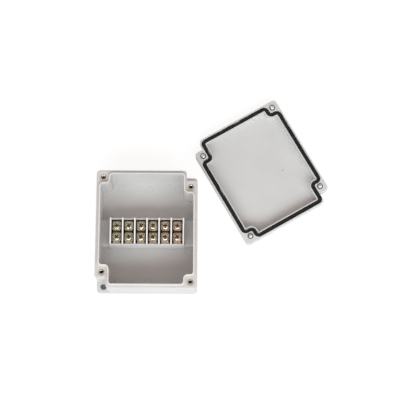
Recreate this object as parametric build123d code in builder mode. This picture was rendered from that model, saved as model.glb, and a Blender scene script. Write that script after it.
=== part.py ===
from build123d import *
from math import cos, radians, sin, tan
import os

# Terminal box: a square-cornered tray with a six-way barrier terminal block, and its lid lying
# upside down beside it. Millimetres, +Z up, origin at the centre of the tray's underside.
# Two opposite corners are notched down to a flange with a mounting hole; the lid has the same notches.

# Housing, tray and lid alike
box_width = 100.0
box_length = 118.0
corner_radius = 3.5
outer_draft = 0.9
cavity_draft = 0.5
screw_inset = 6.75
screw_step = 9.5
ear_reach = 6.4
notch_width = 10.75
notch_corner_radius = 1.5

# Tray
rim_height = 38.0
floor_thickness = 3.0
floor_fillet = 1.5
rim_fillet = 0.8
foot_chamfer = 0.5
flange_height = 8.5
mount_inset_x = 6.9
mount_inset_y = 6.1
mount_hole_radius = 3.1

# Sealing line, followed by the tray's tongue and by the lid's groove
seal_inset = 3.4
seal_clear = 6.2
seal_outer_radius = 3.4
seal_inner_radius = 3.8
tongue_width = 1.5
tongue_height = 2.0
tongue_chamfer = 0.3

# Brass inserts for the lid screws
insert_radius = 2.75
insert_length = 8.0
insert_bore = 1.65
insert_mouth_chamfer = 0.35
insert_recess_radius = 4.0
insert_recess_depth = 0.8
tip_pocket_depth = 6.0
tip_pocket_radius = 2.2

# Clearances: pieces pressed or cut into one another, and screws through plain holes
fit_clearance = 0.02
hole_clearance = 0.25

# Shoulders that the terminal block stands between
shoulder_height = 15.0
shoulder_depth = 25.4
block_clearance = 0.2

# Terminal block
pole_count = 6
pole_pitch = 12.0
block_depth = 26.8
rail_thickness = 1.1
rail_height = 21.0
barrier_rise = 4.8
barrier_foot = 1.9
barrier_taper = 3.5
cell_depth = 11.0
pier_width = 8.0
block_screw_pole = 2

# Terminal hardware
bar_end_gap = 0.3
bar_thickness = 2.0
bar_below_rail = 0.8
bar_edge_fillet = 0.3
terminal_spacing = 11.3
thread_radius = 2.0
thread_clearance = 0.07
plate_width = 8.4
plate_length = 9.2
plate_thickness = 1.2
plate_corner = 1.3
groove_width = 0.7
groove_depth = 0.35
groove_offset = 3.2
terminal_screw_length = 10.0
terminal_head_radius = 3.6
terminal_head_height = 2.6
head_edge_height = 1.4
terminal_crown_radius = 2.5
cross_span = 4.4
cross_width = 1.0
cross_depth = 1.5
tip_chamfer = 0.5
screw_turns = [8, 20, 34, 40, 5, 72, 50, 12, 64, 28, 80, 30]

# Screws that hold the block from below
block_screw_radius = 1.5
block_screw_length = 10.0
block_screw_head = 2.9
block_screw_head_height = 1.6
block_screw_cross = 2.6
block_screw_cross_width = 0.8
block_screw_cross_depth = 1.1
block_screw_turn = 45

# Lid
lid_height = 12.0
lid_face = 3.0
lid_edge_fillet = 2.4
lid_rim_fillet = 0.4
groove_wall = 0.9
gasket_width = 4.0
gasket_thickness = 2.2
gasket_below_rim = 1.2
gasket_side_gap = 0.1

# Captive lid screws
lid_screw_radius = 2.0
lid_screw_length = 12.0
lid_head_radius = 3.5
lid_head_height = 3.0
lid_head_pocket_radius = 4.1
lid_head_pocket_depth = 8.0
ring_radius = 2.8
ring_thickness = 0.8
ring_clearance = 0.05

# Where the lid lies: turned, its long side clear of the tray's notched corner
lid_turn = 30.0
lid_gap = 13.7
lid_shift = -18.0

# Sizes that follow
half_width = box_width / 2
half_length = box_length / 2
screw_x = half_width - screw_inset
screw_y_corner = half_length - screw_inset
screw_y_ear = screw_y_corner - screw_step
ear_y = screw_y_ear + ear_reach
notch_x = half_width - notch_width
mount_x = half_width - mount_inset_x
mount_y = half_length - mount_inset_y
block_half = pole_count * pole_pitch / 2 + barrier_foot / 2
rail_top = floor_thickness + rail_height
bar_top = rail_top - bar_below_rail
bar_bottom = bar_top - bar_thickness
cell_width = pole_pitch - barrier_foot
cell_length = block_depth - 2 * rail_thickness
bar_length = cell_length - 2 * bar_end_gap
cell_floor = rail_top - cell_depth
plate_top = bar_top + plate_thickness
lid_groove_width = gasket_width + 2 * gasket_side_gap
gasket_top = lid_height - gasket_below_rim
groove_floor = gasket_top - gasket_thickness
lid_screw_hole = lid_screw_radius + hole_clearance

# Tray corners as signs of X and Y with the screw's Y: the first and third stand at the true corner,
# the second and fourth are set in beside a notch
tray_corners = [
    (-1, 1, screw_y_corner),
    (1, 1, screw_y_ear),
    (1, -1, screw_y_corner),
    (-1, -1, screw_y_ear),
]
# The lid is seen from below, so its notches are on the other two corners
lid_corners = [(-side_x, side_y, reach) for side_x, side_y, reach in tray_corners]


def is_set_in(reach):
    return reach < screw_y_corner


def around(corners):
    # Corners in order round the outline, whichever way the list was mirrored
    order = [(1, 1), (-1, 1), (-1, -1), (1, -1)]
    return [next(c for c in corners if (c[0], c[1]) == signs) for signs in order]


def corner_points(side_x, side_y, far_x, far_y, near_x, near_y):
    # The three points of a stepped corner, in the order that goes counter-clockwise round the outline
    points = [
        (side_x * far_x, side_y * near_y),
        (side_x * near_x, side_y * near_y),
        (side_x * near_x, side_y * far_y),
    ]
    if side_x * side_y < 0:
        points.reverse()
    return points


def nearest_vertices(sketch, points):
    return [sketch.vertices().sort_by_distance(Vector(x, y, 0))[0] for x, y in points]


def housing_outline(corners):
    # Outline of the housing at its rim, with the two notched corners
    outline = []
    steps = []
    rounds = []
    for side_x, side_y, reach in around(corners):
        if is_set_in(reach):
            points = corner_points(side_x, side_y, half_width, half_length, notch_x, ear_y)
            outline += points
            steps.append(points[1])
            rounds += [points[0], points[2]]
        else:
            point = (side_x * half_width, side_y * half_length)
            outline.append(point)
            rounds.append(point)
    with BuildSketch() as shape:
        with BuildLine():
            Polyline(*outline, close=True)
        make_face()
        fillet(nearest_vertices(shape, rounds), corner_radius)
        fillet(nearest_vertices(shape, steps), notch_corner_radius)
    return shape.sketch


def seal_outline(corners, grow):
    # Closed line round the inside of the four screws, grow millimetres outside the sealing line
    far_x = half_width - seal_inset + grow
    far_y = half_length - seal_inset + grow
    near_x = screw_x - seal_clear + grow
    outline = []
    steps = []
    rounds = []
    for side_x, side_y, reach in around(corners):
        points = corner_points(side_x, side_y, far_x, far_y, near_x, reach - seal_clear + grow)
        outline += points
        steps.append(points[1])
        rounds += [points[0], points[2]]
    with BuildSketch() as shape:
        with BuildLine():
            Polyline(*outline, close=True)
        make_face()
        fillet(nearest_vertices(shape, rounds), seal_outer_radius + grow)
        fillet(nearest_vertices(shape, steps), seal_inner_radius - grow)
    return shape.sketch


def screw_places(corners):
    return [(side_x * screw_x, side_y * reach) for side_x, side_y, reach in corners]


def cross_shape(top, span, width, turn):
    # Cross of a screw recess, on the plane of the head's top
    with BuildSketch(top) as cross:
        Rectangle(span, width, rotation=turn)
        Rectangle(width, span, rotation=turn)
    return cross.sketch


def finish(part, name):
    part.label = name
    export_step(part, f"parts/{name}.step")


def build_tray():
    tongue_top = rim_height + tongue_height
    with BuildPart() as tray:
        # Drafted sides, notched above the flange at two corners
        with BuildSketch(Plane.XY.offset(rim_height)):
            add(housing_outline(tray_corners))
        extrude(amount=flange_height - rim_height, taper=outer_draft)
        flange_inset = (rim_height - flange_height) * tan(radians(outer_draft))
        with BuildSketch(Plane.XY.offset(flange_height)):
            RectangleRounded(
                box_width - 2 * flange_inset,
                box_length - 2 * flange_inset,
                corner_radius - flange_inset,
            )
        extrude(amount=-flange_height, taper=outer_draft)
        fillet(tray.faces().sort_by(Axis.Z)[-1].outer_wire().edges(), rim_fillet)
        chamfer(tray.faces().sort_by(Axis.Z)[0].outer_wire().edges(), foot_chamfer)
        # Raised tongue on the ledge
        with BuildSketch(Plane.XY.offset(rim_height)):
            add(seal_outline(tray_corners, tongue_width / 2))
        extrude(amount=tongue_height)
        chamfer(tray.faces().sort_by(Axis.Z)[-1].outer_wire().edges(), tongue_chamfer)
        # Cavity inside the tongue
        with BuildSketch(Plane.XY.offset(tongue_top)):
            add(seal_outline(tray_corners, -tongue_width / 2))
        extrude(amount=floor_thickness - tongue_top, taper=cavity_draft, mode=Mode.SUBTRACT)
        floor = tray.faces().filter_by(Plane.XY).sort_by_distance((0, 0, floor_thickness))[0]
        fillet(floor.outer_wire().edges(), floor_fillet)
        # Shoulders on both sides of the terminal block
        shoulder_start = block_half + block_clearance
        shoulder_width = half_width - seal_inset - shoulder_start
        with BuildSketch(Plane.XY.offset(floor_thickness)):
            with Locations(
                (shoulder_start + shoulder_width / 2, 0),
                (-shoulder_start - shoulder_width / 2, 0),
            ):
                Rectangle(shoulder_width, shoulder_depth)
        extrude(amount=shoulder_height)
        # Seats for the brass inserts, with a pocket below each for the screw's tip
        with Locations(*[(x, y, rim_height) for x, y in screw_places(tray_corners)]):
            CounterBoreHole(
                insert_radius + fit_clearance,
                insert_recess_radius,
                insert_recess_depth,
                insert_recess_depth + insert_length,
            )
            Hole(tip_pocket_radius, insert_recess_depth + insert_length + tip_pocket_depth)
        # Mounting holes through the flange corners
        with Locations((mount_x, mount_y, flange_height), (-mount_x, -mount_y, flange_height)):
            Hole(mount_hole_radius, flange_height)
        # Countersunk holes for the screws that hold the terminal block
        with Locations(*[Plane((x, 0, 0), z_dir=(0, 0, -1)) for x in block_screw_places()]):
            CounterSinkHole(
                block_screw_radius + hole_clearance,
                block_screw_head + hole_clearance,
                floor_thickness,
            )
    return tray.part


def block_screw_places():
    return [-block_screw_pole * pole_pitch, block_screw_pole * pole_pitch]


def cell_places():
    first = -(pole_count - 1) * pole_pitch / 2
    return [first + index * pole_pitch for index in range(pole_count)]


def terminal_places():
    # The far terminal of every cell from left to right, then the near ones
    return [(x, y) for y in (terminal_spacing / 2, -terminal_spacing / 2) for x in cell_places()]


def build_insert(x, y):
    # Brass insert with a bevelled mouth
    top = rim_height - insert_recess_depth
    bottom = top - insert_length
    with BuildPart() as insert:
        with BuildSketch(Plane((x, y, 0), x_dir=(1, 0, 0), z_dir=(0, -1, 0))):
            with BuildLine():
                Polyline(
                    (insert_bore, bottom),
                    (insert_radius, bottom),
                    (insert_radius, top),
                    (insert_bore + insert_mouth_chamfer, top),
                    (insert_bore, top - insert_mouth_chamfer),
                    close=True,
                )
            make_face()
        revolve(axis=Axis((x, y, 0), (0, 0, 1)))
    return insert.part


def build_block():
    # Moulded block: end rails, piers under the bars, deep slots beside them, tapered barriers above
    with BuildPart() as block:
        with BuildSketch(Plane.XY.offset(floor_thickness)):
            Rectangle(2 * block_half, block_depth)
        extrude(amount=rail_height)
        with BuildSketch(Plane.XY.offset(rail_top)):
            with Locations(*[(x, 0) for x in cell_places()]):
                Rectangle(cell_width, cell_length)
        extrude(amount=-cell_depth, mode=Mode.SUBTRACT)
        with BuildSketch(Plane.XY.offset(cell_floor)):
            with Locations(*[(x, 0) for x in cell_places()]):
                Rectangle(pier_width, cell_length)
        extrude(amount=bar_bottom - cell_floor)
        with BuildSketch(Plane.XY.offset(rail_top)):
            with GridLocations(pole_pitch, 0, pole_count + 1, 1):
                Rectangle(barrier_foot, block_depth)
        extrude(amount=barrier_rise, taper=barrier_taper)
        with BuildSketch(Plane.XY.offset(bar_bottom)):
            with Locations(*terminal_places()):
                Circle(thread_radius + hole_clearance)
        extrude(amount=cell_floor - bar_bottom, mode=Mode.SUBTRACT)
        with BuildSketch(Plane.XY.offset(floor_thickness)):
            with Locations(*[(x, 0) for x in block_screw_places()]):
                Circle(block_screw_radius)
        extrude(amount=block_screw_length - floor_thickness, mode=Mode.SUBTRACT)
    return block.part


def build_block_screw(x):
    # Countersunk screw from the underside, head flush with the tray's underside
    with BuildPart() as screw:
        with BuildSketch(Plane((x, 0, 0), x_dir=(1, 0, 0), z_dir=(0, -1, 0))):
            with BuildLine():
                Polyline(
                    (0, 0),
                    (block_screw_head, 0),
                    (block_screw_radius - fit_clearance, block_screw_head_height),
                    (block_screw_radius - fit_clearance, block_screw_length - block_screw_radius),
                    (0, block_screw_length - fit_clearance),
                    close=True,
                )
            make_face()
        revolve(axis=Axis((x, 0, 0), (0, 0, 1)))
        top = Plane((x, 0, 0), x_dir=(1, 0, 0), z_dir=(0, 0, -1))
        cross = cross_shape(top, block_screw_cross, block_screw_cross_width, block_screw_turn)
        extrude(cross, amount=-block_screw_cross_depth, mode=Mode.SUBTRACT)
    return screw.part


def build_bar(x):
    # Conductor bar tapped for two screws
    with BuildPart() as bar:
        with BuildSketch(Plane.XY.offset(bar_bottom)):
            with Locations((x, 0)):
                Rectangle(pier_width, bar_length)
            with Locations((x, terminal_spacing / 2), (x, -terminal_spacing / 2)):
                Circle(thread_radius + thread_clearance, mode=Mode.SUBTRACT)
        extrude(amount=bar_thickness)
        fillet(bar.edges().filter_by(Axis.Y).group_by(Axis.Z)[-1], bar_edge_fillet)
    return bar.part


def build_plate(x, y):
    # Square clamp plate with cut corners and two pressed grooves
    with BuildPart() as plate:
        with BuildSketch(Plane.XY.offset(bar_top)) as outline:
            with Locations((x, y)):
                Rectangle(plate_width, plate_length)
            chamfer(outline.vertices(), plate_corner)
            with Locations((x, y)):
                Circle(thread_radius + hole_clearance, mode=Mode.SUBTRACT)
        extrude(amount=plate_thickness)
        with BuildSketch(Plane.XY.offset(bar_top)):
            with Locations((x, y + groove_offset), (x, y - groove_offset)):
                Rectangle(plate_width, groove_width)
        extrude(amount=groove_depth, mode=Mode.SUBTRACT)
    return plate.part


def build_terminal_screw(x, y, turn):
    # Pan-head screw standing on the clamp plate, head up
    head_top = plate_top + terminal_head_height
    with BuildPart() as screw:
        with BuildSketch(Plane((x, y, 0), x_dir=(1, 0, 0), z_dir=(0, -1, 0))):
            with BuildLine():
                Polyline(
                    (0, plate_top - terminal_screw_length),
                    (thread_radius, plate_top - terminal_screw_length),
                    (thread_radius, plate_top),
                    (terminal_head_radius, plate_top),
                    (terminal_head_radius, plate_top + head_edge_height),
                    (terminal_crown_radius, head_top),
                    (0, head_top),
                    close=True,
                )
            make_face()
        revolve(axis=Axis((x, y, 0), (0, 0, 1)))
        cross = cross_shape(Plane((x, y, head_top)), cross_span, cross_width, turn)
        extrude(cross, amount=-cross_depth, mode=Mode.SUBTRACT)
    return screw.part


def lid_plane(height):
    # Plane of the lid as it lies, its outer face down; its middle follows the tray's notched corner
    along = (cos(radians(lid_turn)), sin(radians(lid_turn)))
    across = (-along[1], along[0])
    out = half_width + lid_gap
    middle_x = half_width + out * along[0] + lid_shift * across[0]
    middle_y = ear_y + out * along[1] + lid_shift * across[1]
    return Plane((middle_x, middle_y, height), x_dir=(along[0], along[1], 0), z_dir=(0, 0, 1))


def build_lid():
    with BuildPart() as lid:
        with BuildSketch(lid_plane(lid_height)):
            add(housing_outline(lid_corners))
        extrude(amount=-lid_height, taper=outer_draft)
        fillet(lid.faces().sort_by(Axis.Z)[0].outer_wire().edges(), lid_edge_fillet)
        fillet(lid.faces().sort_by(Axis.Z)[-1].outer_wire().edges(), lid_rim_fillet)
        # Groove for the gasket, and the recess inside the groove's inner wall
        with BuildSketch(lid_plane(lid_height)):
            add(seal_outline(lid_corners, lid_groove_width / 2))
            add(seal_outline(lid_corners, -lid_groove_width / 2), mode=Mode.SUBTRACT)
        extrude(amount=groove_floor - lid_height, mode=Mode.SUBTRACT)
        with BuildSketch(lid_plane(lid_height)):
            add(seal_outline(lid_corners, -lid_groove_width / 2 - groove_wall))
        extrude(amount=lid_face - lid_height, taper=cavity_draft, mode=Mode.SUBTRACT)
        # Screw holes, with a pocket for each head in the outer face
        with BuildSketch(lid_plane(0)):
            with Locations(*screw_places(lid_corners)):
                Circle(lid_screw_hole)
        extrude(amount=lid_height, mode=Mode.SUBTRACT)
        with BuildSketch(lid_plane(0)):
            with Locations(*screw_places(lid_corners)):
                Circle(lid_head_pocket_radius)
        extrude(amount=lid_head_pocket_depth, mode=Mode.SUBTRACT)
    return lid.part


def build_gasket():
    with BuildPart() as gasket:
        with BuildSketch(lid_plane(groove_floor)):
            add(seal_outline(lid_corners, gasket_width / 2))
            add(seal_outline(lid_corners, -gasket_width / 2), mode=Mode.SUBTRACT)
        extrude(amount=gasket_thickness)
    return gasket.part


def build_lid_screw(x, y, turn):
    # Captive screw, its head down in the pocket and its tip up through the ring
    axis_point = lid_plane(0).from_local_coords((x, y, 0))
    tip = lid_head_height + lid_screw_length
    with BuildPart() as screw:
        with BuildSketch(Plane(axis_point, x_dir=(1, 0, 0), z_dir=(0, -1, 0))):
            with BuildLine():
                Polyline(
                    (0, 0),
                    (lid_head_radius - tip_chamfer, 0),
                    (lid_head_radius, tip_chamfer),
                    (lid_head_radius, lid_head_height),
                    (lid_screw_radius, lid_head_height),
                    (lid_screw_radius, tip - tip_chamfer),
                    (lid_screw_radius - tip_chamfer, tip),
                    (0, tip),
                    close=True,
                )
            make_face()
        revolve(axis=Axis(axis_point, (0, 0, 1)))
        head = Plane(axis_point, x_dir=(1, 0, 0), z_dir=(0, 0, -1))
        cross = cross_shape(head, cross_span, cross_width, turn)
        extrude(cross, amount=-cross_depth, mode=Mode.SUBTRACT)
    return screw.part


def build_ring(x, y):
    # Rubber ring on the screw's shank, against the lid's rim face
    with BuildPart() as ring:
        with BuildSketch(lid_plane(lid_height)):
            with Locations((x, y)):
                Circle(ring_radius)
                Circle(lid_screw_radius + ring_clearance, mode=Mode.SUBTRACT)
        extrude(amount=ring_thickness)
    return ring.part


os.makedirs("parts", exist_ok=True)

finish(build_tray(), "base_shell")
for number, place in enumerate(screw_places(tray_corners), start=1):
    finish(build_insert(*place), f"lid_insert_{number}")

finish(build_block(), "terminal_block")
for name, x in zip(("left", "right"), block_screw_places()):
    finish(build_block_screw(x), f"block_screw_{name}")
for number, x in enumerate(cell_places(), start=1):
    finish(build_bar(x), f"terminal_bar_{number}")
for number, (place, turn) in enumerate(zip(terminal_places(), screw_turns), start=1):
    finish(build_plate(*place), f"clamp_plate_{number}")
    finish(build_terminal_screw(*place, turn), f"terminal_screw_{number}")

finish(build_lid(), "lid_shell")
finish(build_gasket(), "lid_gasket")
for number, (place, turn) in enumerate(zip(screw_places(lid_corners), screw_turns), start=1):
    finish(build_lid_screw(*place, turn), f"lid_screw_{number}")
    finish(build_ring(*place), f"lid_screw_ring_{number}")
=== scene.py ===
import math

import bpy
from mathutils import Matrix, Vector, noise


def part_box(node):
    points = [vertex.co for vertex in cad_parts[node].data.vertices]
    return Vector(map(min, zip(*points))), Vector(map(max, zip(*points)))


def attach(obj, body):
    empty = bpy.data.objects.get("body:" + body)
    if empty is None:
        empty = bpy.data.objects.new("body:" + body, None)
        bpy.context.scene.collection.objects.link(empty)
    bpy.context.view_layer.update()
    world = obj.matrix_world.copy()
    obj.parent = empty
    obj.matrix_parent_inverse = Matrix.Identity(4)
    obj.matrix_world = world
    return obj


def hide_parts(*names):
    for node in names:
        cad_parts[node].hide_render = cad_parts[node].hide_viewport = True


MM = 0.001

# Camera, fitted to the corner screws, rim and foot seen in the photograph
PHOTO_SIZE = 400
FOCAL_PIXELS = 1324.2
SENSOR_WIDTH = 36.0
CAMERA_TARGET = Vector((52.24, 38.14, 0)) * MM
CAMERA_DISTANCE = 1342.8 * MM
CAMERA_TILT = 13.39
CAMERA_ROLL = 0.04
CAMERA_YAW = -0.31
CLIP_START = 0.01
CLIP_END = 20

# Light: a wide softbox in front of the box, and an even fill all round
KEY_DISTANCE = 2.2
KEY_ELEVATION = 42.0
KEY_AZIMUTH = 6.0
KEY_SIZE = (4.0, 1.1)
KEY_POWER = 61.0
KEY_COLOUR = (0.92, 1.0, 1.02)
FILL_STRENGTH = 0.56
FILL_COLOUR = (1.0, 0.845, 0.80)
WHITE = (1.0, 1.0, 1.0)

# What the camera and mirror-like metal see of the room: white, with a dimmer ceiling
CEILING_SEEN = 0.4
CEILING_START = 0.25
CEILING_END = 0.85

# Floor: a pale sheet that looks evenly white, and grey where the tray covers it
FLOOR_SIZE = 6.0
FLOOR_COLOUR = 0.75
FLOOR_SEEN_COLOUR = 0.2
FLOOR_SEEN_GLOW = 0.86
FLOOR_COVERED_GLOW = 0.09
FLOOR_MARGIN = 2.5 * MM
FLOOR_GRAIN_SIZE = 60 * MM
FLOOR_GRAIN = (0.98, 1.02)
FLOOR_ROUGHNESS = 0.9

# Mesh detail
TURN_STEPS = 48
HEAD_ARC_STEP = 15
ROUND_EDGE_STEP = 30
CORNER_STEPS = 8
SHARP_ANGLE = math.radians(32)

# Screws
THREAD_PITCH = 0.7 * MM
THREAD_DEPTH = 0.28 * MM
THREAD_ROWS = 6
SHANK_RADIUS = 2.0 * MM
TERMINAL_TIP_BEVEL = 0.5 * MM
TERMINAL_HEAD_SIDE = 1.2 * MM
TERMINAL_CROWN = 2.3 * MM
LID_TIP_BEVEL = 1.1 * MM
LID_HEAD_HEIGHT = 2.95 * MM
LID_HEAD_SIDE = 2.3 * MM
LID_CROWN = 2.7 * MM
SCREW_TURNS = (8, 20, 34, 40, 5, 72, 50, 12, 64, 28, 80, 30)
RING_BORE = 2.05 * MM

# Cross recess: its cutter stands a little past the head, and its faces are told by their place; they
# take a dark tone, painted shade
CROSS_SPAN = 4.6 * MM
CROSS_WIDTH = 1.15 * MM
CROSS_DEPTH = 1.6 * MM
CROSS_BOTTOM_SPAN = 0.4
CROSS_BOTTOM_WIDTH = 0.6
CUT_PAST = 0.02
RECESS_REACH = 0.52
RECESS_SKIN = 0.02 * MM

# Inserts: the bands go down the outside, each height a share of the length
INSERT_BORE = 1.65 * MM
INSERT_MOUTH = 0.55 * MM
INSERT_RIM = 0.12 * MM
INSERT_THREAD_DEPTH = 0.5 * MM
INSERT_TURN = 11
KNURL_DEPTH = 0.16 * MM
INSERT_BANDS = (
    (0, "rim"),
    (-0.03, "knurl"),
    (-0.42, "knurl"),
    (-0.47, "waist"),
    (-0.53, "waist"),
    (-0.58, "knurl"),
    (-0.95, "knurl"),
    (-1, "rim"),
)

# Clamp plates
PLATE_CORNER = 1.3 * MM
PLATE_HOLE = 2.25 * MM
PLATE_BEVEL = 0.14 * MM
PLATE_GROOVES = (-2.55 * MM, -0.85 * MM, 0.85 * MM, 2.55 * MM)
GROOVE_HALF_WIDTH = 0.7 * MM
GROOVE_BOTTOM = 0.01 * MM
GROOVE_DEPTH = 0.4 * MM
GROOVE_LENGTH = 1.3 * MM

# Gasket and the lid's sealing line
LID_SIZE = (100.0 * MM, 118.0 * MM)
LID_TURN = 30.0
SEAL_INSET = 3.4 * MM
SEAL_CLEAR = 6.2 * MM
SEAL_OUTER_RADIUS = 3.4 * MM
SEAL_STEP_RADIUS = 3.8 * MM
GASKET_WIDTH = 4.0 * MM
GASKET_ROUND = 0.55 * MM
GASKET_STEP = 1.0 * MM
GASKET_LIFT = 0.16 * MM
GASKET_SWAY = 1.1 * MM
GASKET_SQUEEZE = 0.55
GASKET_WAVE_LENGTH = 7.0 * MM
GASKET_CLOSING = 14.0 * MM
LIFT_ROW = 0.5
SQUEEZE_ROW = 3.5
SWAY_ROW = 7.5

# Plastic, each part's light and dark tone
TRAY_TONES = ((0.615, 0.61, 0.60), (0.59, 0.585, 0.575))
LID_TONES = ((0.625, 0.635, 0.63), (0.60, 0.61, 0.605))
BLOCK_TONES = ((0.72, 0.70, 0.69), (0.68, 0.66, 0.65))
MOTTLE_SIZE = 30 * MM
PLASTIC_GRAIN_SIZE = 0.35 * MM
RIPPLE_SIZE = 12 * MM
RIPPLE_HEIGHT = 2.0
PLASTIC_ROUGHNESS = (0.4, 0.56)
PLASTIC_IOR = 1.5
PLASTIC_BUMP = (0.25, 0.05 * MM)
NOISE_BAND = (0.35, 0.65)

# Tray: ejector marks on the floor, centres in millimetres
TRAY_FLOOR = 3 * MM
TRAY_FLOOR_BAND = 0.5 * MM
WALL_MIDDLE = 2 * MM
EJECTOR_MARKS = (
    (-27.3, 48.8),
    (0.9, 47.5),
    (30.4, 48.6),
    (-38.6, -16.2),
    (40.2, -15.8),
    (-28.7, -47.1),
    (1.2, -47),
)
EJECTOR_RADIUS = 3.4 * MM
EJECTOR_LINE = 0.35 * MM
EJECTOR_DEPTH = 4.0
EJECTOR_TONE = (0.35, 0.34, 0.33)
EJECTOR_SHARE = 0.45

# Tray: painted shade on the tops of the shoulders, a painted highlight on the top of the tongue,
# painted shade at the foot of the walls
SHOULDER_TOP = 18 * MM
SHOULDER_BAND = 0.6 * MM
SHOULDER_FADE = 3 * MM
SHOULDER_SHADE_TONE = (0.30, 0.27, 0.26)
SHOULDER_SHADE_SHARE = 0.45
TONGUE_HIGHLIGHT_RANGE = (39.5 * MM, 39.7 * MM)
TONGUE_HIGHLIGHT_TONE = (0.80, 0.79, 0.78)
TONGUE_HIGHLIGHT_SHARE = 0.6
FOOT_RISE = (3.02 * MM, 3.12 * MM)
FOOT_FALL = (3.35 * MM, 4.3 * MM)
FOOT_FAR_WALL = (40 * MM, 50 * MM)
FOOT_ELSEWHERE = 0.5
FOOT_SHADE_TONE = (0.36, 0.36, 0.35)
FOOT_SHADE_SHARE = 0.55

# Lid: one moulding speck on its inside
LID_FACE = 3 * MM
SPECK_PLACE = (20.8 * MM, -7.9 * MM)
SPECK_RANGE = (0.3 * MM, 1.1 * MM)
SPECK_TONE = (0.25, 0.24, 0.23)
SPECK_SHARE = 0.8

# Block: painted shade between the barriers, measured up from the bars; a painted highlight on the
# tops, measured down from the top
BLOCK_RAIL = 1.15 * MM
CELL_SHADE_RANGE = (0.8 * MM, 4.5 * MM)
CELL_SHADE_TONE = (0.02, 0.018, 0.016)
BARRIER_HIGHLIGHT_RANGE = (1.2 * MM, 0.3 * MM)
BARRIER_HIGHLIGHT_TONE = (0.91, 0.90, 0.89)

# Plating, its tints from left to right
SCREW_TINTS = ((0.84, 0.80, 0.56), (0.92, 0.80, 0.60), (0.98, 0.75, 0.63))
SCREW_ROUGHNESS = 0.2
PLATE_TINTS = ((0.74, 0.72, 0.50), (0.82, 0.71, 0.54), (0.88, 0.66, 0.56))
PLATE_ROUGHNESS = 0.32
TINT_PATCH_SIZE = 4 * MM
TINT_PATCH_SHARE = 0.9
TARNISH_SIZE = 1.6 * MM
TARNISH_BAND = (0.47, 0.66)
TARNISH_SHARE = 0.85
TARNISH_TONE = (0.13, 0.08, 0.045)
PLATING_GRAIN_SIZE = 0.25 * MM
PLATING_UNEVEN = (-0.07, 0.12)
PLATING_BUMP = (0.35, 0.03 * MM)

# Bare metal, bright and dull tone; the bars, the bores and the cross recesses carry painted shade
STEEL_TONES = ((0.92, 0.92, 0.91), (0.74, 0.73, 0.71))
STEEL_ROUGHNESS = 0.34
INSERT_TONES = ((0.95, 0.84, 0.66), (0.72, 0.56, 0.38))
INSERT_ROUGHNESS = 0.22
BORE_SHADE_TONE = (0.025, 0.013, 0.006)
BORE_SHADE_RANGE = (3.2 * MM, 2.1 * MM)
BAR_SHADE_TONES = ((0.12, 0.09, 0.06), (0.04, 0.03, 0.02))
BAR_ROUGHNESS = 0.45
BAR_LIT_END_TONE = (0.62, 0.55, 0.50)
BAR_END_FADE = 0.3 * MM
# Cross recess faces: painted shade
TERMINAL_RECESS_SHADE_TONES = ((0.20, 0.12, 0.07), (0.07, 0.04, 0.02))
LID_RECESS_SHADE_TONES = ((0.22, 0.22, 0.21), (0.10, 0.10, 0.09))
RECESS_ROUGHNESS = 0.5
WEAR_SIZE = 1.5 * MM
WEAR_BAND = (0.35, 0.7)
METAL_GRAIN_SIZE = 0.3 * MM
METAL_UNEVEN = (-0.08, 0.1)
METAL_BUMP = (0.25, 0.02 * MM)

# Rubber, light and dark tone
RING_TONES = ((0.012, 0.012, 0.012), (0.005, 0.005, 0.005))
RING_PORE = 0.25 * MM
RING_SHEEN = 0.2
GASKET_TONES = ((0.018, 0.018, 0.019), (0.008, 0.008, 0.009))
GASKET_PORE = 0.45 * MM
GASKET_SHEEN = 0.25
SKIN_SIZE = 2.5 * MM
SKIN_HEIGHT = 3.0
RUBBER_ROUGHNESS = (0.45, 0.7)
RUBBER_BUMP = (0.5, 0.12 * MM)


# Meshes

def make_object(name, vertices, faces):
    mesh = bpy.data.meshes.new(name)
    mesh.from_pydata([tuple(v) for v in vertices], [], faces)
    mesh.validate()
    obj = bpy.data.objects.new(name, mesh)
    bpy.context.scene.collection.objects.link(obj)
    return obj


def smooth(mesh):
    mesh.shade_smooth()
    mesh.set_sharp_from_angle(angle=SHARP_ANGLE)


def applied(obj):
    # The object's mesh with its modifiers applied; the object itself is removed
    bpy.context.view_layer.update()
    graph = bpy.context.evaluated_depsgraph_get()
    mesh = bpy.data.meshes.new_from_object(obj.evaluated_get(graph))
    bpy.data.objects.remove(obj)
    return mesh


def piece(name, template, matrix, materials, body, node):
    # A copy of a template mesh, set in place, that stands for one CAD node
    mesh = template.copy()
    mesh.transform(matrix)
    sides = [face.material_index for face in mesh.polygons]
    mesh.materials.clear()
    for each in materials:
        mesh.materials.append(each)
    if len(materials) > 1:
        mesh.polygons.foreach_set("material_index", sides)
    smooth(mesh)
    obj = bpy.data.objects.new(name, mesh)
    bpy.context.scene.collection.objects.link(obj)
    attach(obj, body)
    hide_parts(node)
    return obj


def at(node, height, turn=0.0, flip=False):
    # Matrix that sets a turned piece on a node's axis at a height
    low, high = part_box(node)
    matrix = Matrix.Translation(((low.x + high.x) / 2, (low.y + high.y) / 2, height))
    matrix @= Matrix.Rotation(math.radians(turn), 4, "Z")
    if flip:
        matrix @= Matrix.Rotation(math.pi, 4, "X")
    return matrix


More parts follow.
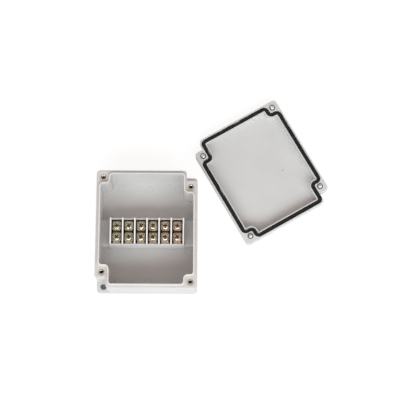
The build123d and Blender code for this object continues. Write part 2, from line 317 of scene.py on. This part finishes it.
def turned(name, rows, closed=False, radius_at=None):
    # A turned shape from rows of (radius, height, kind), with a pole where the radius is nothing;
    # closed joins the last row to the first, as in a ring
    vertices, loops = [], []
    for radius, height, kind in rows:
        start = len(vertices)
        if radius == 0:
            vertices.append((0, 0, height))
            loops.append([start])
            continue
        for step in range(TURN_STEPS):
            angle = math.tau * step / TURN_STEPS
            reach = radius_at(radius, height, kind, angle) if radius_at else radius
            vertices.append((reach * math.cos(angle), reach * math.sin(angle), height))
        loops.append(list(range(start, start + TURN_STEPS)))
    pairs = list(zip(loops, loops[1:]))
    if closed:
        pairs.append((loops[-1], loops[0]))
    faces = []
    for low, high in pairs:
        for step in range(TURN_STEPS):
            after = (step + 1) % TURN_STEPS
            if len(low) == 1:
                faces.append((low[0], high[after], high[step]))
            elif len(high) == 1:
                faces.append((low[step], low[after], high[0]))
            else:
                faces.append((low[step], low[after], high[after], high[step]))
    return make_object(name, vertices, faces)


def prism(name, low, high, low_height, high_height):
    # A solid between two outlines with as many points
    count = len(low)
    vertices = [(x, y, low_height) for x, y in low] + [(x, y, high_height) for x, y in high]
    faces = [tuple(range(count))[::-1], tuple(range(count, 2 * count))]
    for i in range(count):
        j = (i + 1) % count
        faces.append((i, j, count + j, count + i))
    return make_object(name, vertices, faces)


def cut(obj, cutters):
    for cutter in cutters:
        modifier = obj.modifiers.new("cut", "BOOLEAN")
        modifier.operation = "DIFFERENCE"
        modifier.solver = "EXACT"
        modifier.object = cutter


# Screws, inserts and rings

def thread_wave(height, angle):
    # 0 on the crest and 1 in the root of a helical thread
    phase = (height / THREAD_PITCH - angle / math.tau) % 1
    return 1 - abs(2 * phase - 1)


def thread_rows(low, high, radius):
    count = round((high - low) / THREAD_PITCH * THREAD_ROWS)
    return [(radius, low + (high - low) * i / count, "thread") for i in range(count + 1)]


def outside_thread(radius, height, kind, angle):
    if kind == "thread":
        return radius - THREAD_DEPTH * thread_wave(height, angle)
    return radius


def cross_outline(span, width):
    a, b = span / 2, width / 2
    corner = [(a, -b), (a, b), (b, b)]
    outline = []
    for quarter in range(4):
        c, s = math.cos(quarter * math.pi / 2), math.sin(quarter * math.pi / 2)
        outline += [(x * c - y * s, x * s + y * c) for x, y in corner]
    return outline


def screw_template(head_radius, head_height, side, crown, shank_length, tip_bevel):
    # Pan-head screw with its head's seat at height 0, a cross recess and a threaded shank below
    tip, root = -shank_length, SHANK_RADIUS - THREAD_DEPTH
    rows = [(0, tip, "tip"), (SHANK_RADIUS - tip_bevel, tip, "tip")]
    rows += thread_rows(tip + tip_bevel, -THREAD_PITCH, SHANK_RADIUS)
    rows += [(root, -THREAD_PITCH / 2, "neck"), (root, 0, "neck"), (head_radius, 0, "head")]
    for degrees in range(0, 91, HEAD_ARC_STEP):
        a = math.radians(degrees)
        radius = crown + (head_radius - crown) * math.cos(a)
        rows.append((radius, side + (head_height - side) * math.sin(a), "head"))
    rows.append((0, head_height, "head"))
    screw = turned("screw", rows, radius_at=outside_thread)
    recess = prism(
        "recess",
        cross_outline(CROSS_SPAN * CROSS_BOTTOM_SPAN, CROSS_WIDTH * CROSS_BOTTOM_WIDTH),
        cross_outline(CROSS_SPAN * (1 + CUT_PAST), CROSS_WIDTH * (1 + CUT_PAST)),
        head_height - CROSS_DEPTH,
        head_height + CROSS_DEPTH * CUT_PAST,
    )
    cut(screw, [recess])
    mesh = applied(screw)
    bpy.data.objects.remove(recess)
    # The recess faces take the second material, painted shade
    bottom = head_height - CROSS_DEPTH * (1 + CUT_PAST)
    for face in mesh.polygons:
        centre = face.center
        near_axis = math.hypot(centre.x, centre.y) < CROSS_SPAN * RECESS_REACH
        face.material_index = int(near_axis and bottom < centre.z < head_height - RECESS_SKIN)
    return mesh


def insert_template(radius, length):
    # Knurled brass insert with a bevelled mouth and a threaded bore, its top at height 0
    def shaped(row_radius, height, kind, angle):
        if kind == "thread":
            return row_radius + INSERT_THREAD_DEPTH * thread_wave(height, angle)
        if kind == "knurl":
            return row_radius - KNURL_DEPTH * (round(angle / math.tau * TURN_STEPS) % 2)
        return row_radius

    radii = {"rim": radius - INSERT_RIM, "knurl": radius, "waist": radius - 2 * KNURL_DEPTH}
    rows = [(radii[kind], share * length, kind) for share, kind in INSERT_BANDS[::-1]]
    rows.append((INSERT_BORE + INSERT_MOUTH, 0, "rim"))
    rows += thread_rows(-length, -INSERT_MOUTH, INSERT_BORE)[::-1]
    return applied(turned("insert", rows, closed=True, radius_at=shaped))


def ring_template(inner, outer, height):
    # Rubber ring with rounded edges
    middle, half_width, half_height = (inner + outer) / 2, (outer - inner) / 2, height / 2
    rows = []
    for degrees in range(0, 360, ROUND_EDGE_STEP):
        c, s = math.cos(math.radians(degrees)), math.sin(math.radians(degrees))
        u = math.copysign(math.sqrt(abs(c)), c) * half_width
        v = math.copysign(math.sqrt(abs(s)), s) * half_height
        rows.append((middle + u, v, "ring"))
    return applied(turned("ring", rows, closed=True))


# Clamp plates

def groove(x, y, thickness):
    # V-shaped cutter for one pressed groove, which reaches in from the plate's end at y
    near, far = y - GROOVE_LENGTH, y + GROOVE_LENGTH
    outlines = []
    for half in (GROOVE_BOTTOM, GROOVE_HALF_WIDTH):
        outlines.append([(x - half, near), (x + half, near), (x + half, far), (x - half, far)])
    return prism("groove", *outlines, thickness - GROOVE_DEPTH, thickness + GROOVE_DEPTH)


def plate_template(width, length, thickness):
    # Clamp plate with cut corners, bevelled edges, a hole and pressed grooves at both ends
    half_x, half_y = width / 2, length / 2
    outer = [
        (half_x, -half_y + PLATE_CORNER),
        (half_x, half_y - PLATE_CORNER),
        (half_x - PLATE_CORNER, half_y),
        (-half_x + PLATE_CORNER, half_y),
        (-half_x, half_y - PLATE_CORNER),
        (-half_x, -half_y + PLATE_CORNER),
        (-half_x + PLATE_CORNER, -half_y),
        (half_x - PLATE_CORNER, -half_y),
    ]
    hole = []
    for step in range(TURN_STEPS):
        a = math.tau * step / TURN_STEPS
        hole.append((PLATE_HOLE * math.cos(a), PLATE_HOLE * math.sin(a)))
    plate = prism("plate", outer, outer, 0, thickness)
    cutters = [prism("hole", hole, hole, -thickness, 2 * thickness)]
    cutters += [groove(x, y, thickness) for y in (-half_y, half_y) for x in PLATE_GROOVES]
    cut(plate, cutters)
    bevel = plate.modifiers.new("bevel", "BEVEL")
    bevel.width = PLATE_BEVEL
    bevel.segments = 2
    bevel.limit_method = "ANGLE"
    mesh = applied(plate)
    for cutter in cutters:
        bpy.data.objects.remove(cutter)
    return mesh


# Gasket along the lid's sealing line

def lid_matrix(height):
    low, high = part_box("lid_shell")
    middle = (low + high) / 2
    turn = Matrix.Rotation(math.radians(LID_TURN), 4, "Z")
    return Matrix.Translation((middle.x, middle.y, height)) @ turn


def seal_corners():
    # The stepped line round the four screws, counter-clockwise in the lid's own frame, with its radii
    to_lid = lid_matrix(0).inverted()
    screws = {}
    for number in range(1, 5):
        low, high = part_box(f"lid_screw_{number}")
        screw = to_lid @ ((low + high) / 2)
        screws[screw.x > 0, screw.y > 0] = screw
    far_x, far_y = LID_SIZE[0] / 2 - SEAL_INSET, LID_SIZE[1] / 2 - SEAL_INSET
    line = []
    for right, upper in ((True, True), (False, True), (False, False), (True, False)):
        side_x, side_y = (1 if right else -1), (1 if upper else -1)
        screw = screws[right, upper]
        near_x, near_y = abs(screw.x) - SEAL_CLEAR, abs(screw.y) - SEAL_CLEAR
        points = [
            ((side_x * far_x, side_y * near_y), SEAL_OUTER_RADIUS),
            ((side_x * near_x, side_y * near_y), SEAL_STEP_RADIUS),
            ((side_x * near_x, side_y * far_y), SEAL_OUTER_RADIUS),
        ]
        line += points if side_x * side_y > 0 else points[::-1]
    return [(Vector(point), radius) for point, radius in line]


def rounded_line(bends):
    # Points along the closed line, with an arc at each square corner
    line = []
    for index, (corner, radius) in enumerate(bends):
        before = (bends[index - 1][0] - corner).normalized()
        after = (bends[(index + 1) % len(bends)][0] - corner).normalized()
        centre = corner + (before + after) * radius
        for step in range(CORNER_STEPS + 1):
            a = math.pi / 2 * step / CORNER_STEPS
            line.append(centre - after * radius * math.cos(a) - before * radius * math.sin(a))
    return line


def even_steps(line, step):
    # The closed line again, in even steps, as (point, distance along the line)
    placed, along = [], 0.0
    ring = line + [line[0]]
    for start, end in zip(ring, ring[1:]):
        length = (end - start).length
        count = max(1, round(length / step))
        placed += [(start.lerp(end, i / count), along + length * i / count) for i in range(count)]
        along += length
    return placed


def slow_noise(along, total, row):
    # Noise along a closed loop, which runs back into its own start over the last stretch
    here = noise.noise((along / GASKET_WAVE_LENGTH, row, 0))
    start = noise.noise(((along - total) / GASKET_WAVE_LENGTH, row, 0))
    return here + (start - here) * max(0, 1 - (total - along) / GASKET_CLOSING)


def gasket_profile(half, thickness):
    profile = [(-half, 0), (half, 0), (half, thickness - GASKET_ROUND)]
    for degrees in range(ROUND_EDGE_STEP, 91, ROUND_EDGE_STEP):
        a = math.radians(degrees)
        across = half - GASKET_ROUND * (1 - math.cos(a))
        profile.append((across, thickness - GASKET_ROUND * (1 - math.sin(a))))
    return profile + [(0, thickness)] + [(-u, v) for u, v in profile[:1:-1]]


def gasket_object(matrix, thickness):
    # Closed loop of sponge rubber with rounded shoulders, laid a little unevenly
    half = GASKET_WIDTH / 2
    profile = gasket_profile(half, thickness)
    line = even_steps(rounded_line(seal_corners()), GASKET_STEP)
    total = line[-1][1] + (line[0][0] - line[-1][0]).length
    vertices = []
    for index, (point, along) in enumerate(line):
        ahead = line[(index + 1) % len(line)][0]
        behind = line[index - 1][0]
        tangent = (ahead - behind).normalized()
        outward = Vector((tangent.y, -tangent.x))
        lift = GASKET_LIFT * slow_noise(along, total, LIFT_ROW)
        squeeze = 1 - GASKET_SQUEEZE * max(0, slow_noise(along, total, SQUEEZE_ROW))
        sway = GASKET_SWAY * slow_noise(along, total, SWAY_ROW)
        for u, v in profile:
            side = point + outward * max(-half, min(half, u * squeeze + sway))
            vertices.append(matrix @ Vector((side.x, side.y, v + lift * v / thickness)))
    count, rings = len(profile), len(line)
    faces = []
    for ring in range(rings):
        a, b = ring * count, (ring + 1) % rings * count
        for i in range(count):
            j = (i + 1) % count
            faces.append((a + i, b + i, b + j, a + j))
    return make_object("gasket", vertices, faces)


# Shader nodes

def new_material(name):
    material = bpy.data.materials.new(name)
    material.use_nodes = True
    tree = material.node_tree
    tree.nodes.clear()
    output = tree.nodes.new("ShaderNodeOutputMaterial")
    shader = tree.nodes.new("ShaderNodeBsdfPrincipled")
    tree.links.new(shader.outputs[0], output.inputs["Surface"])
    return material, tree, shader


def put(tree, socket, value):
    # Links a value to a socket or sets it there; a colour comes as red, green and blue
    if isinstance(value, bpy.types.NodeSocket):
        tree.links.new(value, socket)
    elif socket.type == "RGBA":
        socket.default_value = (*value, 1.0)
    else:
        socket.default_value = value


def add(tree, kind, inputs=(), **settings):
    made = tree.nodes.new("ShaderNode" + kind)
    for key, value in settings.items():
        setattr(made, key, value)
    for key, value in dict(inputs).items():
        put(tree, made.inputs[key], value)
    return made


def position(tree):
    # The place on the object, as one vector and as its three parts
    vector = add(tree, "TexCoord").outputs["Object"]
    return vector, add(tree, "SeparateXYZ", {"Vector": vector}).outputs


def maths(tree, operation, *values, clamp=False):
    made = add(tree, "Math", operation=operation, use_clamp=clamp)
    for socket, value in zip(made.inputs, values):
        put(tree, socket, value)
    return made.outputs[0]


def product(tree, first, *others):
    for other in others:
        first = maths(tree, "MULTIPLY", first, other)
    return first


def speckle(tree, vector, size, detail=2.0, roughness=0.5):
    # Noise with features about size metres across
    inputs = {"Vector": vector, "Scale": 1 / size, "Detail": detail, "Roughness": roughness}
    return add(tree, "TexNoise", inputs).outputs["Fac"]


def spread(tree, value, low, high, start=0.0, end=1.0):
    # From low to high as the value goes from start to end
    inputs = {"Value": value, "From Min": start, "From Max": end, "To Min": low, "To Max": high}
    return add(tree, "MapRange", inputs).outputs[0]


def blend(tree, share, first, second):
    made = add(tree, "Mix", data_type="RGBA", blend_type="MIX")
    put(tree, made.inputs[0], share)
    put(tree, made.inputs[6], first)
    put(tree, made.inputs[7], second)
    return made.outputs[2]


def bumped(tree, shader, height, strength, distance):
    made = add(tree, "Bump", {"Height": height, "Strength": strength, "Distance": distance})
    put(tree, shader.inputs["Normal"], made.outputs["Normal"])


def within(tree, parts, half_x, half_y):
    # 1 in an upright box round the origin, 0 beyond its sides
    in_x = maths(tree, "LESS_THAN", maths(tree, "ABSOLUTE", parts[0]), half_x)
    in_y = maths(tree, "LESS_THAN", maths(tree, "ABSOLUTE", parts[1]), half_y)
    return product(tree, in_x, in_y)


def distance_from(tree, parts, x, y):
    dx = maths(tree, "SUBTRACT", parts[0], x)
    dy = maths(tree, "SUBTRACT", parts[1], y)
    return maths(tree, "SQRT", maths(tree, "ADD", product(tree, dx, dx), product(tree, dy, dy)))


# Plastic

def plastic(name, tones, by_place):
    # Satin moulded plastic: faint mottling, a fine eroded grain and slow ripples. The last argument
    # adds what belongs to one part: real marks, and on the tray and the block painted shade and
    # highlights; it takes and gives the colour and the height
    material, tree, shader = new_material(name)
    vector, parts = position(tree)
    light, dark = tones
    mottling = spread(tree, speckle(tree, vector, MOTTLE_SIZE, 3), 0, 1, *NOISE_BAND)
    grain = speckle(tree, vector, PLASTIC_GRAIN_SIZE, 2, 0.6)
    ripple = speckle(tree, vector, RIPPLE_SIZE, 1)
    height = maths(tree, "ADD", grain, product(tree, ripple, RIPPLE_HEIGHT))
    base, height = by_place(tree, parts, blend(tree, mottling, dark, light), height)
    put(tree, shader.inputs["Base Color"], base)
    put(tree, shader.inputs["Roughness"], spread(tree, grain, *PLASTIC_ROUGHNESS))
    shader.inputs["IOR"].default_value = PLASTIC_IOR
    bumped(tree, shader, height, *PLASTIC_BUMP)
    return material


def inside_tray(tree, parts):
    # 1 within the tray's walls, 0 on their outer faces
    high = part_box("base_shell")[1]
    return within(tree, parts, high.x - WALL_MIDDLE, high.y - WALL_MIDDLE)


def ejector_rings(tree, parts):
    # 1 on the thin rings that the ejector pins leave on the tray's floor
    rings = []
    for x, y in EJECTOR_MARKS:
        off = maths(tree, "SUBTRACT", distance_from(tree, parts, x * MM, y * MM), EJECTOR_RADIUS)
        rings.append(spread(tree, maths(tree, "ABSOLUTE", off), 1, 0, 0, EJECTOR_LINE))
    total = rings[0]
    for ring in rings[1:]:
        total = maths(tree, "MAXIMUM", total, ring)
    return product(tree, total, maths(tree, "COMPARE", parts[2], TRAY_FLOOR, TRAY_FLOOR_BAND))


def shoulder_shade(tree, parts):
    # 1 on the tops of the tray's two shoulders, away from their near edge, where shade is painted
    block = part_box("terminal_block")[1]
    level = maths(tree, "COMPARE", parts[2], SHOULDER_TOP, SHOULDER_BAND)
    beside = maths(tree, "GREATER_THAN", maths(tree, "ABSOLUTE", parts[0]), block.x)
    behind_edge = spread(tree, parts[1], 0, 1, -block.y, -block.y + SHOULDER_FADE)
    before_end = maths(tree, "LESS_THAN", parts[1], block.y)
    return product(tree, level, beside, inside_tray(tree, parts), behind_edge, before_end)


def wall_foot_shade(tree, parts):
    # 1 on the rounded foot of the tray's far wall, and less on that of the other walls: the mask of a
    # painted shade
    wall = spread(tree, parts[1], FOOT_ELSEWHERE, 1, *FOOT_FAR_WALL)
    rise = spread(tree, parts[2], 0, 1, *FOOT_RISE)
    fall = spread(tree, parts[2], 1, 0, *FOOT_FALL)
    return product(tree, rise, fall, wall, inside_tray(tree, parts))


def tray_marks_and_painted_light(tree, parts, base, height):
    # Ejector rings, painted shade on the shoulders, a painted highlight on the top of the tongue and
    # painted shade at the walls' foot
    ring = ejector_rings(tree, parts)
    height = maths(tree, "SUBTRACT", height, product(tree, ring, EJECTOR_DEPTH))
    base = blend(tree, product(tree, ring, EJECTOR_SHARE), base, EJECTOR_TONE)
    # Painted shade on the shoulder tops
    base = blend(tree, product(tree, shoulder_shade(tree, parts), SHOULDER_SHADE_SHARE), base, SHOULDER_SHADE_TONE)
    # Painted highlight on the top of the tongue
    base = blend(tree, spread(tree, parts[2], 0, TONGUE_HIGHLIGHT_SHARE, *TONGUE_HIGHLIGHT_RANGE), base, TONGUE_HIGHLIGHT_TONE)
    # Painted shade at the foot of the walls
    base = blend(tree, product(tree, wall_foot_shade(tree, parts), FOOT_SHADE_SHARE), base, FOOT_SHADE_TONE)
    return base, height


def lid_marks(tree, parts, base, height):
    # One small moulding speck on the lid's inside
    speck = lid_matrix(0) @ Vector((*SPECK_PLACE, 0))
    dot = spread(tree, distance_from(tree, parts, speck.x, speck.y), SPECK_SHARE, 0, *SPECK_RANGE)
    inside = maths(tree, "GREATER_THAN", parts[2], LID_FACE / 2)
    return blend(tree, product(tree, dot, inside), base, SPECK_TONE), height


def block_painted_light(tree, parts, base, height):
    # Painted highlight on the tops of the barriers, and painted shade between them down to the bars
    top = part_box("terminal_block")[1]
    bar_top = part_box("terminal_bar_1")[1].z
    start, end = (top.z - down for down in BARRIER_HIGHLIGHT_RANGE)
    # Painted highlight on the barrier tops
    base = blend(tree, spread(tree, parts[2], 0, 1, start, end), base, BARRIER_HIGHLIGHT_TONE)
    # Painted shade between the barriers, down to the bars
    start, end = (bar_top + up for up in CELL_SHADE_RANGE)
    inside = within(tree, parts, top.x - BLOCK_RAIL, top.y - BLOCK_RAIL)
    cell_shade = product(tree, spread(tree, parts[2], 1, 0, start, end), inside)
    return blend(tree, cell_shade, base, CELL_SHADE_TONE), height


# Metal and rubber

def metal_surface(tree, shader, grain, roughness, uneven, bump):
    shader.inputs["Metallic"].default_value = 1.0
    low, high = (roughness + change for change in uneven)
    put(tree, shader.inputs["Roughness"], spread(tree, grain, low, high))
    bumped(tree, shader, grain, *bump)


def plated(name, tints, roughness):
    # Passivated plating whose tint drifts along the strip, with small patches and fine scratches
    material, tree, shader = new_material(name)
    vector, parts = position(tree)
    low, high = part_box("terminal_block")
    patch = maths(tree, "SUBTRACT", speckle(tree, vector, TINT_PATCH_SIZE, 3), 0.5)
    drift = spread(tree, parts[0], 0, 1, low.x, high.x)
    along = maths(tree, "ADD", drift, product(tree, patch, TINT_PATCH_SHARE), clamp=True)
    ramp = add(tree, "ValToRGB", {"Fac": along})
    stops = ramp.color_ramp.elements
    left, middle, right = tints
    stops[0].color = (*left, 1.0)
    stops[1].color = (*right, 1.0)
    stops.new(0.5).color = (*middle, 1.0)
    spots = speckle(tree, vector, TARNISH_SIZE, 4, 0.6)
    tarnish = spread(tree, spots, 0, TARNISH_SHARE, *TARNISH_BAND)
    put(tree, shader.inputs["Base Color"], blend(tree, tarnish, ramp.outputs["Color"], TARNISH_TONE))
    grain = speckle(tree, vector, PLATING_GRAIN_SIZE, 3, 0.6)
    metal_surface(tree, shader, grain, roughness, PLATING_UNEVEN, PLATING_BUMP)
    return material


def metal(name, tones, roughness, by_place=None):
    # Metal worn in small patches; the last argument changes the colour by place, with painted shade
    material, tree, shader = new_material(name)
    vector, parts = position(tree)
    wear = spread(tree, speckle(tree, vector, WEAR_SIZE, 3), 0, 1, *WEAR_BAND)
    base = blend(tree, wear, *tones)
    if by_place:
        base = by_place(tree, parts, base)
    put(tree, shader.inputs["Base Color"], base)
    grain = speckle(tree, vector, METAL_GRAIN_SIZE, 3, 0.6)
    metal_surface(tree, shader, grain, roughness, METAL_UNEVEN, METAL_BUMP)
    return material


def shaded_bore(tree, parts, base):
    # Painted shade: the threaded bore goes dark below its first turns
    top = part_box("lid_insert_1")[1].z
    start, end = (top - down for down in BORE_SHADE_RANGE)
    return blend(tree, spread(tree, parts[2], 1, 0, start, end), base, BORE_SHADE_TONE)


def lit_bar_ends(tree, parts, base):
    # Painted light and shade: the bars are dark all along as painted shade, and lighter at their near
    # ends, where the plates leave them uncovered
    end = min(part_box(f"clamp_plate_{number}")[0].y for number in range(1, 13))
    return blend(tree, spread(tree, parts[1], 1, 0, end - BAR_END_FADE, end), base, BAR_LIT_END_TONE)


def rubber(name, tones, pore, sheen):
    # Matt rubber with open pores and a slightly uneven skin
    material, tree, shader = new_material(name)
    vector = position(tree)[0]
    light, dark = tones
    skin = speckle(tree, vector, SKIN_SIZE, 3)
    pores = add(tree, "TexVoronoi", {"Vector": vector, "Scale": 1 / pore}).outputs["Distance"]
    base = blend(tree, spread(tree, skin, 0, 1, *NOISE_BAND), dark, light)
    put(tree, shader.inputs["Base Color"], base)
    put(tree, shader.inputs["Roughness"], spread(tree, skin, *RUBBER_ROUGHNESS))
    shader.inputs["Specular IOR Level"].default_value = sheen
    bumped(tree, shader, maths(tree, "ADD", pores, product(tree, skin, SKIN_HEIGHT)), *RUBBER_BUMP)
    return material


# Camera, light and floor

def add_camera():
    camera = bpy.data.objects.new("camera", bpy.data.cameras.new("camera"))
    bpy.context.scene.collection.objects.link(camera)
    camera.data.sensor_width = SENSOR_WIDTH
    camera.data.lens = FOCAL_PIXELS / PHOTO_SIZE * SENSOR_WIDTH
    camera.data.clip_start = CLIP_START
    camera.data.clip_end = CLIP_END
    turn = (
        Matrix.Rotation(math.radians(CAMERA_ROLL), 3, "Z")
        @ Matrix.Rotation(-math.radians(CAMERA_TILT), 3, "X")
        @ Matrix.Rotation(math.radians(CAMERA_YAW), 3, "Z")
    )
    axes = turn.transposed()
    place = CAMERA_TARGET + axes @ Vector((0, 0, CAMERA_DISTANCE))
    camera.matrix_world = Matrix.Translation(place) @ axes.to_4x4()
    bpy.context.scene.camera = camera


def add_light():
    data = bpy.data.lights.new("key", "AREA")
    data.shape = "RECTANGLE"
    data.size, data.size_y = KEY_SIZE
    data.energy = KEY_POWER
    data.color = KEY_COLOUR
    key = bpy.data.objects.new("key", data)
    bpy.context.scene.collection.objects.link(key)
    azimuth, elevation = math.radians(KEY_AZIMUTH), math.radians(KEY_ELEVATION)
    level = math.cos(elevation)
    towards = Vector((math.sin(azimuth) * level, -math.cos(azimuth) * level, math.sin(elevation)))
    key.location = CAMERA_TARGET + towards * KEY_DISTANCE
    key.rotation_mode = "QUATERNION"
    key.rotation_quaternion = towards.to_track_quat("Z", "Y")


def seen_by_eye(tree):
    # 1 for what the camera sees directly, in a mirror or through glass
    path = add(tree, "LightPath").outputs
    glossy = maths(tree, "MAXIMUM", path["Is Glossy Ray"], path["Is Transmission Ray"])
    return maths(tree, "MAXIMUM", path["Is Camera Ray"], glossy)


def add_world():
    world = bpy.data.worlds.new("world")
    bpy.context.scene.world = world
    world.use_nodes = True
    tree = world.node_tree
    tree.nodes.clear()
    seen = seen_by_eye(tree)
    direction = add(tree, "TexCoord").outputs["Generated"]
    height = add(tree, "SeparateXYZ", {"Vector": direction}).outputs[2]
    shown = spread(tree, height, 1.0, CEILING_SEEN, CEILING_START, CEILING_END)
    above_fill = product(tree, seen, maths(tree, "SUBTRACT", shown, FILL_STRENGTH))
    inputs = {
        "Color": blend(tree, seen, FILL_COLOUR, WHITE),
        "Strength": maths(tree, "ADD", above_fill, FILL_STRENGTH),
    }
    background = add(tree, "Background", inputs)
    output = add(tree, "OutputWorld")
    tree.links.new(background.outputs[0], output.inputs["Surface"])


def floor_material():
    material, tree, shader = new_material("floor")
    vector, parts = position(tree)
    seen = seen_by_eye(tree)
    grain = spread(tree, speckle(tree, vector, FLOOR_GRAIN_SIZE, 2), *FLOOR_GRAIN)
    level = product(tree, spread(tree, seen, FLOOR_COLOUR, FLOOR_SEEN_COLOUR), grain)
    grey = add(tree, "CombineColor", {0: level, 1: level, 2: level}).outputs[0]
    put(tree, shader.inputs["Base Color"], grey)
    shader.inputs["Roughness"].default_value = FLOOR_ROUGHNESS
    shader.inputs["Specular IOR Level"].default_value = 0.0
    put(tree, shader.inputs["Emission Color"], WHITE)
    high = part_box("base_shell")[1]
    covered = within(tree, parts, high.x - FLOOR_MARGIN, high.y - FLOOR_MARGIN)
    glow = product(tree, seen, spread(tree, covered, FLOOR_SEEN_GLOW, FLOOR_COVERED_GLOW))
    put(tree, shader.inputs["Emission Strength"], glow)
    return material


def add_floor():
    half = FLOOR_SIZE / 2
    square = [(-half, -half, 0), (half, -half, 0), (half, half, 0), (-half, half, 0)]
    floor = make_object("floor", square, [(0, 1, 2, 3)])
    floor.data.materials.append(floor_material())


# Pieces

def dress(node, material):
    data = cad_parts[node].data
    data.materials.clear()
    data.materials.append(material)


def add_shells():
    dress("base_shell", plastic("tray_plastic", TRAY_TONES, tray_marks_and_painted_light))
    dress("lid_shell", plastic("lid_plastic", LID_TONES, lid_marks))
    dress("terminal_block", plastic("block_plastic", BLOCK_TONES, block_painted_light))
    # The bars' dark tone is painted shade, lighter at their uncovered near ends
    bar = metal("bar_brass", BAR_SHADE_TONES, BAR_ROUGHNESS, lit_bar_ends)
    for number in range(1, 7):
        dress(f"terminal_bar_{number}", bar)
    for node in ("base_shell", "lid_shell", "terminal_block"):
        smooth(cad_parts[node].data)


def add_terminals():
    screw_material = plated("plated_screw", SCREW_TINTS, SCREW_ROUGHNESS)
    plate_material = plated("plated_plate", PLATE_TINTS, PLATE_ROUGHNESS)
    # The cross recess faces carry painted shade
    recess = metal("screw_recess_shade", TERMINAL_RECESS_SHADE_TONES, RECESS_ROUGHNESS)
    plate_low, plate_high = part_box("clamp_plate_1")
    screw_low, screw_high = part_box("terminal_screw_1")
    plate = plate_template(*(plate_high - plate_low))
    screw = screw_template(
        (screw_high.x - screw_low.x) / 2,
        screw_high.z - plate_high.z,
        TERMINAL_HEAD_SIDE,
        TERMINAL_CROWN,
        plate_high.z - screw_low.z,
        TERMINAL_TIP_BEVEL,
    )
    for number, turn in enumerate(SCREW_TURNS, start=1):
        node = f"clamp_plate_{number}"
        low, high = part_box(node)
        body = f"plate_{number}"
        piece(body, plate, at(node, low.z), [plate_material], body, node)
        node = f"terminal_screw_{number}"
        matrix = at(node, high.z, turn)
        body = f"screw_{number}"
        piece(body, screw, matrix, [screw_material, recess], body, node)


def add_lid_screws():
    steel = metal("screw_steel", STEEL_TONES, STEEL_ROUGHNESS)
    # The cross recess faces carry painted shade
    recess = metal("lid_screw_recess_shade", LID_RECESS_SHADE_TONES, RECESS_ROUGHNESS)
    black = rubber("ring_rubber", RING_TONES, RING_PORE, RING_SHEEN)
    low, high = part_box("lid_screw_1")
    screw = screw_template(
        (high.x - low.x) / 2,
        LID_HEAD_HEIGHT,
        LID_HEAD_SIDE,
        LID_CROWN,
        high.z - low.z - LID_HEAD_HEIGHT,
        LID_TIP_BEVEL,
    )
    ring_low, ring_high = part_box("lid_screw_ring_1")
    ring = ring_template(RING_BORE, (ring_high.x - ring_low.x) / 2, ring_high.z - ring_low.z)
    for number in range(1, 5):
        node = f"lid_screw_{number}"
        matrix = at(node, LID_HEAD_HEIGHT + low.z, SCREW_TURNS[number], flip=True)
        body = f"lid_bolt_{number}"
        piece(body, screw, matrix, [steel, recess], body, node)
        node = f"lid_screw_ring_{number}"
        matrix = at(node, (ring_low.z + ring_high.z) / 2)
        body = f"ring_{number}"
        piece(body, ring, matrix, [black], body, node)
    for side in ("left", "right"):
        dress(f"block_screw_{side}", steel)


def add_inserts():
    # Painted shade deep in the bore
    brass = metal("insert_brass", INSERT_TONES, INSERT_ROUGHNESS, shaded_bore)
    low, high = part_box("lid_insert_1")
    insert = insert_template((high.x - low.x) / 2, high.z - low.z)
    for number in range(1, 5):
        node = f"lid_insert_{number}"
        matrix = at(node, high.z, INSERT_TURN * number)
        piece(f"insert_{number}", insert, matrix, [brass], "base", node)


def add_gasket():
    low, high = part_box("lid_gasket")
    gasket = gasket_object(lid_matrix(low.z), high.z - low.z)
    gasket.data.materials.append(rubber("gasket_rubber", GASKET_TONES, GASKET_PORE, GASKET_SHEEN))
    smooth(gasket.data)
    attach(gasket, "lid")
    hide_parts("lid_gasket")


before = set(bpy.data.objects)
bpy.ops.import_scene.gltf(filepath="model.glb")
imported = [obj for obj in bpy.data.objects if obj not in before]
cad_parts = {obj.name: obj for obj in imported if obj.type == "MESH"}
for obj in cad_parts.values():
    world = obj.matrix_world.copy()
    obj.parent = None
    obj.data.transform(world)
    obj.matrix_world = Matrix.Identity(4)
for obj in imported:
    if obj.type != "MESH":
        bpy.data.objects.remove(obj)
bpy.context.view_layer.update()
bpy.context.scene.view_settings.view_transform = "Standard"

add_camera()
add_light()
add_world()
add_floor()
add_shells()
add_terminals()
add_lid_screws()
add_inserts()
add_gasket()
